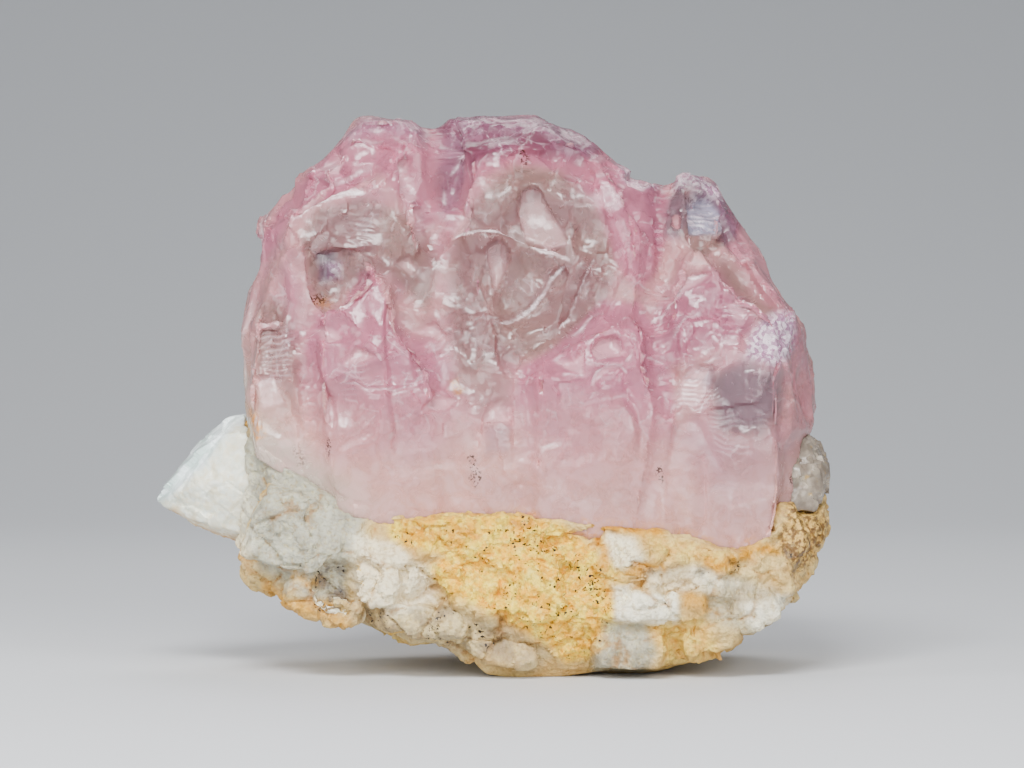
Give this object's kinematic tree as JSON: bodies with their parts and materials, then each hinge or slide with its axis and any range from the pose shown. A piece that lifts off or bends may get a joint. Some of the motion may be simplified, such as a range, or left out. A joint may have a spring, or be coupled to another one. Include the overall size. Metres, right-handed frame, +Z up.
{
  "type": "rose quartz crystal specimen",
  "caption": "Hand specimen of etched, intergrown pink quartz crystals standing on pale feldspar rock, for display on a shelf or table.",
  "frame": {"origin": "middle of the specimen's box, on the surface that it stands on", "axes": "+X to the right across the front face, +Y towards the back, +Z up along the crystals"},
  "size_m": [0.0804, 0.0394, 0.0661],
  "materials": {
    "rose_quartz": "etched natural quartz, wet-looking gloss, hazy pink inside",
    "matrix": "broken, sugary feldspar and quartz, with yellow iron stain and dark specks",
    "feldspar": "blue-white cleaved feldspar, satin",
    "milky_quartz": "grey, milky quartz, rough gloss"
  },
  "bodies": {
    "root": {"rose_quartz_crystals": "rose_quartz", "matrix_rock": "matrix", "feldspar_block": "feldspar", "milky_quartz": "milky_quartz"}
  },
  "joints": []
}
